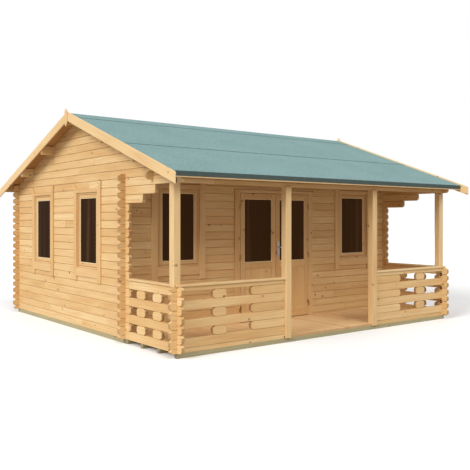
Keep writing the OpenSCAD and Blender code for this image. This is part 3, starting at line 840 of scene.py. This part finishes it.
def bargeboards():
    for side, name in ((-1, "left"), (1, "right")):
        low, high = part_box(name + "_bargeboards")
        rise = high.z - ridge_z
        drop = roof_z(high.y, 0) - low.z
        boards = Boards(64 + side)
        joint = 1 * MM
        for s in (-1, 1):
            outline = [(s * joint, roof_z(joint, -drop)), (s * high.y, roof_z(high.y, -drop)),
                       (s * high.y, roof_z(high.y, rise)), (s * joint, roof_z(joint, rise))]
            if s < 0:
                outline.reverse()
            fibres = (math.cos(roof_turn), -s * math.sin(roof_turn))
            boards.board(outline, lambda u, v, w: (w, u, v), low.x, high.x, fibres, 3 * MM)
        done(boards.made(name + "_gable_boards", PLANED_PINE),
             "cabin", "planed_timber", name + "_bargeboards")
    low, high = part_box("finials")
    thick = (high.x - low.x) / 2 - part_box("right_bargeboards")[1].x
    boards = Boards(66)
    half, point = high.y, 42 * MM
    outline = [(0, low.z), (half, low.z + point), (half, high.z - point), (0, high.z),
               (-half, high.z - point), (-half, low.z + point)]
    for near in (low.x, high.x - thick):
        boards.board(outline, lambda u, v, w: (w, u, v), near, near + thick, (0, 1), 3 * MM)
    done(boards.made("gable_finials", PLANED_PINE), "cabin", "planed_timber", "finials")


def felt_strip(name, path, thick, finish, *nodes):
    """Felt along the roof: path is its underside in y and z, running away from the ridge."""
    mesh = bpy.data.meshes.new(name)
    over = []
    for k, (y, z) in enumerate(path):
        ay, az = path[max(k - 1, 0)]
        by, bz = path[min(k + 1, len(path) - 1)]
        length = math.hypot(by - ay, bz - az)
        turn = 1 if path[-1][0] > path[0][0] else -1
        over.append((y - turn * (bz - az) / length * thick, z + turn * (by - ay) / length * thick))
    outline = list(path) + over[::-1]
    n = len(outline)
    points = [(x, y, z) for x in (-roof_x, roof_x) for y, z in outline]
    faces = [list(range(n)), list(range(2 * n - 1, n - 1, -1))]
    faces += [[k, (k + 1) % n, n + (k + 1) % n, n + k] for k in range(n)]
    mesh.from_pydata(points, [], faces)
    outward(mesh)
    mesh.materials.append(finish)
    done(placed(name, mesh), "cabin", "roofing_felt", *nodes)


def felting():
    """Two sheets of felt on each slope, a drip strip down over each eave, made of dark felt as painted shade on
    its upright skirt, and a cap.

    The cut edge of every lap shows as a thin dark line: bitumen and painted shadow of the step.
    """
    skirt_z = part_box("felt_front")[0].z
    thick_up = SHEET / math.cos(roof_turn)
    edge = eave_y - SHEET
    bend = 7 * MM
    for side, name in ((-1, "front"), (1, "back")):
        corner_z = roof_z(edge, deck_rise)

        def on_roof(y, layers):
            return (side * y, roof_z(y, deck_rise + layers * thick_up))

        felt_strip("felt_" + name + "_lower", [on_roof(LAP_Y - LAP_WIDTH, 0), on_roof(edge + 1 * MM, 0)],
                   SHEET, FELT, "felt_" + name)
        path = []
        for k in range(BEND_STEPS + 1):
            turn = roof_turn + k / BEND_STEPS * (math.pi / 2 - roof_turn)
            y, z = edge - bend + bend * math.sin(turn), corner_z - bend + bend * math.cos(turn)
            path.append((side * y, z))
        path.append((side * edge, skirt_z))
        # painted shade: the drip strip is dark felt because its upright skirt stands in shade
        felt_strip("drip_strip_" + name, path, SHEET, BITUMEN_AND_SHADE)
        felt_strip("felt_" + name + "_upper", [(0, roof_z(0, deck_rise)), on_roof(LAP_Y - 2 * LAP_WIDTH, 0),
                                               on_roof(LAP_Y - LAP_WIDTH, 1), on_roof(LAP_Y, 1)], SHEET, FELT)
        # a thin dark strip at the lap's edge: bitumen, and painted shadow of the step
        felt_strip("lap_bleed_and_shadow_" + name, [on_roof(LAP_Y, 1), on_roof(LAP_Y + LAP_BLEED_AND_SHADOW, 1)],
                   SHEET / 2, BITUMEN_AND_SHADE)
    for side, name in ((-1, "front"), (1, "back")):
        path = [(0, roof_z(0, deck_rise + thick_up)), (side * CAP_Y, roof_z(CAP_Y, deck_rise + thick_up))]
        felt_strip("felt_cap_" + name, path, SHEET, FELT, *(["ridge_felt"] if side < 0 else []))
        # a thin dark strip at the cap's edge: bitumen, and painted shadow of the step
        path = [(side * y, roof_z(y, deck_rise + thick_up)) for y in (CAP_Y, CAP_Y + LAP_BLEED_AND_SHADOW)]
        felt_strip("cap_bleed_and_shadow_" + name, path, SHEET / 2, BITUMEN_AND_SHADE)


# ---- windows ----

TRIM_W = 100 * MM
TRIM_T = 20 * MM
HEAD_RISE = 45 * MM
EAR_RISE = 150 * MM
EAR_LEAN = 14 * MM
EAR_TIP = 14 * MM
TRIM_DROP = 194 * MM
SILL_BOARD = 125 * MM
CASING = 26 * MM
CASEMENT_GAP = 4 * MM
SASH = 45 * MM
BEAD = 13 * MM


def frame_of(boards, u0, v0, u1, v1, width, place, near, far, arris=ARRIS):
    """Four members inside the rectangle, the upright ones running past the level ones."""
    boards.strip(u0, v0, u0 + width, v1, place, near, far, arris)
    boards.strip(u1 - width, v0, u1, v1, place, near, far, arris)
    boards.strip(u0 + width, v0, u1 - width, v0 + width, place, near, far, arris)
    boards.strip(u0 + width, v1 - width, u1 - width, v1, place, near, far, arris)


def window(sashes, beads, trims, place, u, z):
    """One window: casing, sash, glazing beads and the boards around it."""
    a, b, top = u - WINDOW_W / 2, u + WINDOW_W / 2, z + window_h
    frame_of(sashes, a, z, b, top, CASING, place, -half_t, half_t)
    step = CASING + CASEMENT_GAP
    frame_of(sashes, a + CASING, z + CASING, b - CASING, top - CASING, CASEMENT_GAP + 6 * MM, place,
             -half_t, -half_t + 14 * MM)
    frame_of(sashes, a + step, z + step, b - step, top - step, SASH, place,
             -half_t + 15 * MM, half_t - 5 * MM, 2.5 * MM)
    inner = step + SASH
    for near, far in ((-14 * MM, -4.2 * MM), (4.2 * MM, half_t - 9 * MM)):
        frame_of(beads, a + inner, z + inner, b - inner, top - inner, BEAD, place, near, far, 3 * MM)
    near, far = half_t, half_t + TRIM_T
    for s in (-1, 1):
        inside, outside = u + s * WINDOW_W / 2, u + s * (WINDOW_W / 2 + TRIM_W)
        outline = [(inside, z - TRIM_DROP), (outside, z - TRIM_DROP), (outside, top + HEAD_RISE),
                   (outside + s * EAR_LEAN, top + EAR_RISE),
                   (outside + s * (EAR_LEAN - EAR_TIP), top + EAR_RISE), (inside, top + HEAD_RISE)]
        if s < 0:
            outline.reverse()
        trims.board(outline, place, near, far, (0, 1), 2.5 * MM)
    trims.strip(a, z - SILL_BOARD, b, z, place, near, far, 2.5 * MM)
    trims.strip(a, top, b, top + HEAD_RISE, place, near, far, 2.5 * MM)


def on_front(u, v, w):
    return (u, front_y - w, v)


def on_side(side):
    return lambda u, v, w: (side * (side_x + w), side_mid_y + side * u, v)


def windows():
    front = [(on_front, s * front_window_x, front_window_z) for s in (-1, 1)]
    sides = [(on_side(side), s * side_window_y, side_window_z) for side in (-1, 1) for s in (-1, 1)]
    for name, seed, spots in (("front", 71, front), ("side", 74, sides)):
        sashes, beads, trims = Boards(seed), Boards(seed + 1), Boards(seed + 2)
        for spot in spots:
            window(sashes, beads, trims, *spot)
        done(sashes.made(name + "_window_sashes", JOINERY),
             "cabin", "planed_joinery", name + "_window_frames")
        done(beads.made(name + "_glazing_beads", BEAD_PINE), "cabin", "planed_joinery")
        done(trims.made(name + "_window_boards", JOINERY), "cabin", "planed_joinery", name + "_window_trim")


# ---- doors ----

leaf_low, leaf_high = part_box("right_door_leaf")
leaf_face_y = leaf_low.y
LEAF_T = leaf_high.y - leaf_low.y
LEAF_W = leaf_high.x - leaf_low.x
LEAF_H = leaf_high.z - leaf_low.z
BOTTOM_RAIL = 150 * MM
MID_RAIL = 90 * MM
PANEL_BOARDS = 4
glass_low, glass_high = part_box("right_door_glass")
STILE = leaf_high.x - glass_high.x


def door_leaf(side, name, seed):
    """A half-glazed leaf: side is -1 for the one hung on the left and 1 for the right."""
    def place(u, v, w):
        return (side * (leaf_high.x - u), leaf_face_y + w, leaf_low.z + v)

    glass_v0, glass_v1 = glass_low.z - leaf_low.z, glass_high.z - leaf_low.z
    panel_v1 = glass_v0 - MID_RAIL
    inner = LEAF_W - STILE
    boards, beads = Boards(seed), Boards(seed + 1)
    for u in (0, inner):
        boards.strip(u, 0, u + STILE, LEAF_H, place, 0, LEAF_T, 2.5 * MM)
    for v0, v1 in ((0, BOTTOM_RAIL), (panel_v1, glass_v0), (glass_v1, LEAF_H)):
        boards.strip(STILE, v0, inner, v1, place, 0, LEAF_T, 2.5 * MM)
    width = (inner - STILE) / PANEL_BOARDS
    for k in range(PANEL_BOARDS):
        boards.strip(STILE + k * width, BOTTOM_RAIL, STILE + (k + 1) * width, panel_v1, place,
                     10 * MM, LEAF_T - 10 * MM, 2.5 * MM)
    for near, far in ((3 * MM, 17 * MM), (LEAF_T - 17 * MM, LEAF_T - 3 * MM)):
        frame_of(beads, STILE, glass_v0, inner, glass_v1, BEAD, place, near, far, 4 * MM)
    for near, far in ((4 * MM, 10 * MM), (LEAF_T - 10 * MM, LEAF_T - 4 * MM)):
        frame_of(boards, STILE, BOTTOM_RAIL, inner, panel_v1, 10 * MM, place, near, far, 2.5 * MM)
    body = name + "_leaf"
    done(boards.made(name + "_leaf_timber", JOINERY), body, "planed_joinery", name + "_door_leaf")
    done(beads.made(name + "_leaf_beads", BEAD_PINE), body, "planed_joinery")


def door_surround():
    """The frame in the wall, its stops, its sill and the boards around it."""
    low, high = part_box("door_frame")
    leaf_gap = 5 * MM
    clear_x = leaf_high.x + leaf_gap
    head_z = leaf_high.z + leaf_gap
    sill_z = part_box("cabin_floor")[1].z
    boards = Boards(81)

    def place(u, v, w):
        return (u, w, v)

    for s in (-1, 1):
        u0, u1 = sorted((s * clear_x, s * high.x))
        boards.strip(u0, low.z, u1, high.z, place, low.y, high.y)
    boards.strip(-clear_x, head_z, clear_x, high.z, place, low.y, high.y)
    boards.strip(-clear_x, low.z, clear_x, sill_z, place, low.y, high.y)
    stop_y, stop_t, stop_w = leaf_face_y + LEAF_T + leaf_gap, 12 * MM, 14 * MM
    for s in (-1, 1):
        u0, u1 = sorted((s * (clear_x - stop_w), s * clear_x))
        boards.strip(u0, sill_z, u1, head_z, place, stop_y, stop_y + stop_t)
    boards.strip(-clear_x + stop_w, head_z - stop_w, clear_x - stop_w, head_z, place, stop_y, stop_y + stop_t)
    done(boards.made("door_frame_timber", JOINERY), "cabin", "planed_joinery", "door_frame")

    low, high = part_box("door_trim")
    boards = Boards(82)
    for s in (-1, 1):
        u0, u1 = sorted((s * clear_x, s * high.x))
        boards.strip(u0, low.z, u1, high.z, place, low.y, high.y, 2.5 * MM)
    boards.strip(-clear_x, head_z, clear_x, high.z, place, low.y, high.y, 2.5 * MM)
    done(boards.made("door_boards", JOINERY), "cabin", "planed_joinery", "door_trim")


# ---- finishes that aren't wood ----

def mineral_felt(name, stops, grit_size, roughness):
    """Bitumen felt faced with slate grit: dull, slightly mottled, rough.

    The grit is about 1 mm, too fine to show, so it is drawn at grit_size.
    """
    finish, tree, shader = new_finish(name)
    place = add(tree, "ShaderNodeTexCoord").outputs["Object"]
    grit = add(tree, "ShaderNodeTexNoise", {"Vector": place, "Scale": 1 / grit_size, "Detail": 3,
                                            "Roughness": 0.7})
    patches = add(tree, "ShaderNodeTexNoise", {"Vector": place, "Scale": 1.4, "Detail": 5})
    depth = add(tree, "ShaderNodeMath", {0: patches.outputs["Fac"], 1: 0.10, 2: -0.05},
                operation="MULTIPLY_ADD")
    depth = add(tree, "ShaderNodeMath", {0: grit.outputs["Fac"], 1: depth.outputs[0]}, operation="ADD")
    colour = with_stops(add(tree, "ShaderNodeValToRGB", {"Fac": depth.outputs[0]}),
                        *zip((0.28, 0.5, 0.72), stops))
    bump = add(tree, "ShaderNodeBump", {"Height": grit.outputs["Fac"], "Strength": 0.4, "Distance": 1.5 * MM})
    tree.links.new(colour, shader.inputs["Base Color"])
    tree.links.new(bump.outputs["Normal"], shader.inputs["Normal"])
    shader.inputs["Roughness"].default_value = roughness
    shader.inputs["Specular IOR Level"].default_value = 0.2
    return finish


def glass_with_painted_room():
    """Double glazing with a painted view of an unlit timber room behind it: painted shade, near black and warm
    brown, and glossy.

    The far wall's boards are painted in as faint upright streaks about 60 mm wide.
    """
    finish, tree, shader = new_finish("double_glazing_painted_room")
    place = add(tree, "ShaderNodeTexCoord").outputs["Object"]
    upright = add(tree, "ShaderNodeMapping", {"Vector": place, "Scale": (9, 9, 0.25)})
    boards = add(tree, "ShaderNodeTexNoise", {"Vector": upright.outputs[0], "Scale": 1, "Detail": 2})
    # painted shade: the dark brown streaks stand for the dim room seen through the glass
    colour = with_stops(add(tree, "ShaderNodeValToRGB", {"Fac": boards.outputs["Fac"]}),
                        (0.36, "#120803"), (0.50, "#1c0f07"), (0.60, "#2a180c"), (0.66, "#3c2a1a"))
    waves = add(tree, "ShaderNodeTexNoise", {"Vector": place, "Scale": 2.5, "Detail": 1})
    bump = add(tree, "ShaderNodeBump", {"Height": waves.outputs["Fac"], "Strength": 0.1, "Distance": 1 * MM})
    tree.links.new(colour, shader.inputs["Base Color"])
    tree.links.new(bump.outputs["Normal"], shader.inputs["Normal"])
    shader.inputs["Roughness"].default_value = 0.05
    shader.inputs["IOR"].default_value = 1.5
    shader.inputs["Specular IOR Level"].default_value = 0.01
    # painted glow, though the glass is no lamp, standing for the little daylight that the room behind throws
    # back
    shader.inputs["Emission Color"].default_value = linear("#34200f")
    shader.inputs["Emission Strength"].default_value = 0.7
    return finish


def brushed_metal(name, dark, pale):
    """Metal with a satin brushed or plated skin, whose highlights are drawn out."""
    finish, tree, shader = new_finish(name)
    place = add(tree, "ShaderNodeTexCoord").outputs["Object"]
    lines = add(tree, "ShaderNodeMapping", {"Vector": place, "Scale": (900, 900, 30)})
    brushing = add(tree, "ShaderNodeTexNoise", {"Vector": lines.outputs[0], "Scale": 1, "Detail": 2})
    colour = with_stops(add(tree, "ShaderNodeValToRGB", {"Fac": brushing.outputs["Fac"]}),
                        (0.3, dark), (0.7, pale))
    spread = add(tree, "ShaderNodeMath", {0: brushing.outputs["Fac"], 1: 0.18, 2: 0.2},
                 operation="MULTIPLY_ADD")
    tree.links.new(colour, shader.inputs["Base Color"])
    tree.links.new(spread.outputs[0], shader.inputs["Roughness"])
    shader.inputs["Metallic"].default_value = 1.0
    return finish


def steel_and_glass():
    """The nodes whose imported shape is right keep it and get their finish."""
    finishes = {"window_glass": GLAZING, "left_door_glass": GLAZING, "right_door_glass": GLAZING,
                "left_hinges": ZINC, "right_hinges": ZINC, "fixed_hinges": ZINC, "door_handle": STEEL}
    for node, finish in finishes.items():
        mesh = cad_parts[node].data
        mesh.materials.clear()
        mesh.materials.append(finish)


# ---- studio: camera, floor and light ----

def studio():
    camera = placed("camera", bpy.data.cameras.new("camera"))
    camera.location = (-6.990, -9.465, 1.667)
    camera.rotation_euler = (math.pi / 2, 0, math.radians(-38.52))
    camera.data.sensor_width = 36
    camera.data.lens = 51.5
    camera.data.shift_x = -0.027
    camera.data.shift_y = -0.033
    bpy.context.scene.camera = camera

    for name, towards, energy in (("soft_key_light", (-0.85, -0.12, 0.51), 2.3),
                                  ("soft_front_light", (-0.12, -0.73, 0.67), 1.25)):
        light = placed(name, bpy.data.lights.new(name, "SUN"))
        light.rotation_euler = Vector(towards).to_track_quat("Z", "Y").to_euler()
        light.data.energy = energy
        light.data.angle = math.radians(30)

    world = bpy.data.worlds.new("white_studio")
    bpy.context.scene.world = world
    world.use_nodes = True
    tree = world.node_tree
    tree.nodes.clear()
    fill = add(tree, "ShaderNodeBackground", {"Color": (1, 1, 1, 1), "Strength": 0.58})
    seen = add(tree, "ShaderNodeBackground", {"Color": (1, 1, 1, 1), "Strength": 1.0})
    path = add(tree, "ShaderNodeLightPath").outputs["Is Camera Ray"]
    both = add(tree, "ShaderNodeMixShader", {0: path, 1: fill.outputs[0], 2: seen.outputs[0]})
    add(tree, "ShaderNodeOutputWorld", {"Surface": both.outputs[0]})

    reach, under = 60.0, -0.5 * MM
    mesh = bpy.data.meshes.new("studio_floor")
    corners = [(-reach, -reach), (reach, -reach), (reach, reach), (-reach, reach)]
    mesh.from_pydata([(x, y, under) for x, y in corners], [], [(0, 1, 2, 3)])
    finish, tree, shader = new_finish("white_paper")
    # a paper that throws back less light than it shows, so that the porch stays in shade
    path = add(tree, "ShaderNodeLightPath").outputs["Is Camera Ray"]
    paper = add(tree, "ShaderNodeMix", {"Factor": path, 6: linear("#b4b0aa"), 7: linear("#fbfbfb")},
                data_type="RGBA")
    tree.links.new(paper.outputs[2], shader.inputs["Base Color"])
    shader.inputs["Roughness"].default_value = 0.9
    mesh.materials.append(finish)
    placed("studio_floor", mesh)
    bpy.context.scene.view_settings.view_transform = "Standard"


TIMBER_SWEEP = timber_sweep()
SPRUCE = softwood("planed_spruce_logs", "#e8cb9a", "#d8b077", "#a9743c", "#6e3c18", "#d39a66", 0.52)
PLANED_PINE = softwood("planed_pine", "#e9cea0", "#dcb984", "#b6864e", "#7a4820", "#d6a672", 0.48)
JOINERY = softwood("joinery_pine", "#e6c592", "#d4aa72", "#a8763e", "#764420", "#d29864", 0.46, 0.8)
BEAD_PINE = softwood("bead_pine", "#f0dcb6", "#e6cc9e", "#cea872", "#966232", "#e2c08c", 0.46, 0.7)
FLOOR_PINE = softwood("floor_pine", "#f0d3a6", "#e3bb86", "#c6935f", "#8a5428", "#e6b082", 0.50)
ROOF_PINE = softwood("roof_board_pine", "#d2ac74", "#b6864e", "#8a5728", "#643614", "#b27442", 0.55)
TREATED = softwood("pressure_treated_pine", "#c2b794", "#aa9f7a", "#857a58", "#5c5036", "#ab9f78", 0.70)
FELT = mineral_felt("slate_grit_felt", ("#527070", "#789594", "#9eb8b6"), 12 * MM, 0.92)
# dark felt: bitumen and painted shadow at the laps, and painted shade on the drip strips' skirts
BITUMEN_AND_SHADE = mineral_felt("bitumen_and_painted_shade_felt", ("#3a4643", "#485451", "#56625e"), 14 * MM, 0.8)
GLAZING = glass_with_painted_room()
STEEL = brushed_metal("satin_stainless_steel", "#b4b2ae", "#cfcdc9")
ZINC = brushed_metal("yellow_passivated_zinc_plated_steel", "#b08a52", "#c9a468")

studio()
front_wall()
back_wall()
side_wall(-1, "left", 13)
side_wall(1, "right", 14)
side_railing(-1, "left", 33)
side_railing(1, "right", 34)
front_railing(-1, "left", 35)
front_railing(1, "right", 36)
beams()
posts_and_handrails()
floors()
bearers()
roof_boards(-1, "roof_deck_front", 55)
roof_boards(1, "roof_deck_back", 56)
purlins()
eave_boards()
bargeboards()
felting()
windows()
door_leaf(-1, "left", 83)
door_leaf(1, "right", 85)
door_surround()
steel_and_glass()
